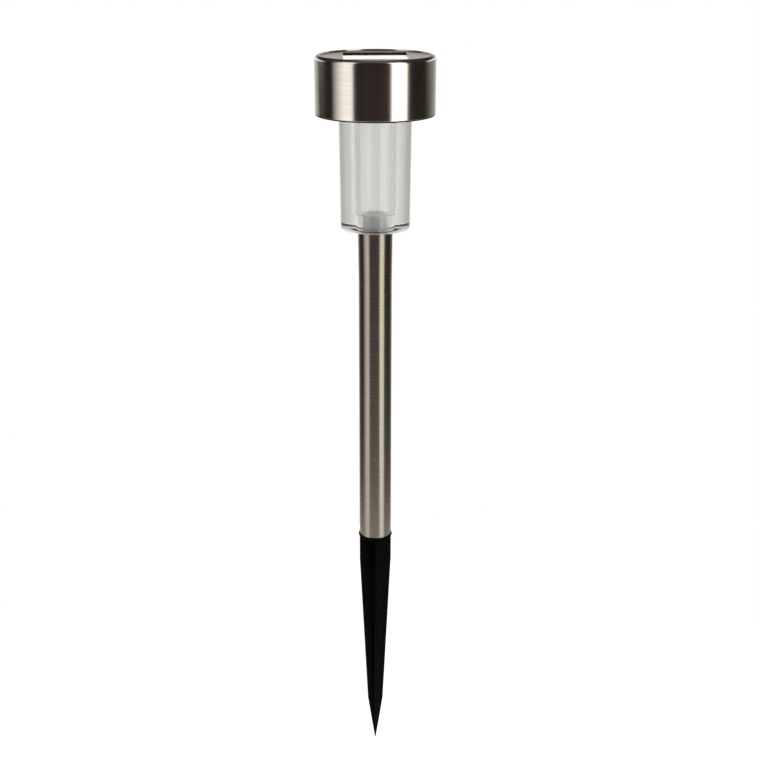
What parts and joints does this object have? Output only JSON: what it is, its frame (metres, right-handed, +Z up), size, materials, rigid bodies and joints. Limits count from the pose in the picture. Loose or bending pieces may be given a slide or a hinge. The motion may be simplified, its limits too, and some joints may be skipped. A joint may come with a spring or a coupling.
{
  "type": "solar garden light",
  "caption": "Ground-spike path light: round steel cap with a sunken solar panel, thick clear tapered lens, slim steel pole and black cross-winged spike.",
  "frame": {"origin": "on the pole's axis at ground level, on the underside of the spike's collar", "axes": "+Z up along the pole, -Y towards the front of the light, +X to its right"},
  "size_m": [0.056, 0.056, 0.3634],
  "materials": {
    "cap_steel": "drawn sheet, fine brushing round the side",
    "pole_steel": "thin tube, brushed",
    "lens_clear": "clear, polished",
    "seal_clear": "soft clear silicone",
    "spike_plastic": "black, satin moulded",
    "housing_plastic": "black, fine moulded texture",
    "gasket_foam": "black closed-cell foam",
    "panel_resin": "clear cast resin",
    "silicon": "dark blue-black silicon",
    "panel_board": "glass-filled board",
    "tape_foam": "white foam tape",
    "screw_steel": "zinc plated",
    "battery_steel": "nickel-plated steel",
    "battery_film": "green shrink film, unprinted",
    "contact_metal": "nickel-plated strip",
    "circuit_board": "green solder mask",
    "chip_plastic": "black epoxy",
    "ferrite": "dark ferrite with lacquered wire",
    "resistor_body": "beige lacquer",
    "led_clear": "clear epoxy",
    "lead_metal": "tinned",
    "reflector": "bright white",
    "switch_metal": "tinned steel case",
    "knob_plastic": "black, ribbed",
    "wire_red": "soft insulation",
    "wire_black": "soft insulation"
  },
  "bodies": {
    "spike": {"ground_spike": "spike_plastic"},
    "pole": {"pole_tube": "pole_steel"},
    "lens": {"lens": "lens_clear", "lens_plug": "lens_clear"},
    "seal": {"lens_seal": "seal_clear"},
    "head": {"cap_shell": "cap_steel", "cap_liner": "housing_plastic", "panel_gasket": "gasket_foam", "panel_resin": "panel_resin", "solar_cells": "silicon", "panel_board": "panel_board", "panel_tape": "tape_foam", "housing": "housing_plastic", "housing_cover": "housing_plastic", "cover_screws": "screw_steel", "battery_can": "battery_steel", "battery_sleeve": "battery_film", "battery_plate": "contact_metal", "battery_leaf": "contact_metal", "circuit_board": "circuit_board", "driver_chip": "chip_plastic", "inductor": "ferrite", "resistor": "resistor_body", "led_body": "led_clear", "led_leads": "lead_metal", "led_reflector": "reflector", "switch_body": "switch_metal", "switch_terminals": "lead_metal", "panel_wire_black": "wire_black", "panel_wire_red": "wire_red", "battery_wire_black": "wire_black", "battery_wire_red": "wire_red", "switch_wires": "wire_red"},
    "switch_knob": {"switch_slider": "knob_plastic"}
  },
  "joints": [
    {"name": "pole_lift", "type": "slide", "parent": "spike", "child": "pole", "axis": [0, 0, 1], "range_m": [0, 0.028]},
    {"name": "lens_lift", "type": "slide", "parent": "pole", "child": "lens", "axis": [0, 0, 1], "range_m": [0, 0.018]},
    {"name": "head_lift", "type": "slide", "parent": "lens", "child": "seal", "axis": [0, 0, 1], "range_m": [0, 0.025]},
    {"name": "head_turn", "type": "hinge", "parent": "seal", "child": "head", "pos_m": [0, 0, 0.2185], "axis": [0, 0, 1], "continuous": true},
    {"name": "switch_slide", "type": "slide", "parent": "head", "child": "switch_knob", "axis": [0.9994, 0.0349, 0], "range_m": [0, 0.002]}
  ]
}
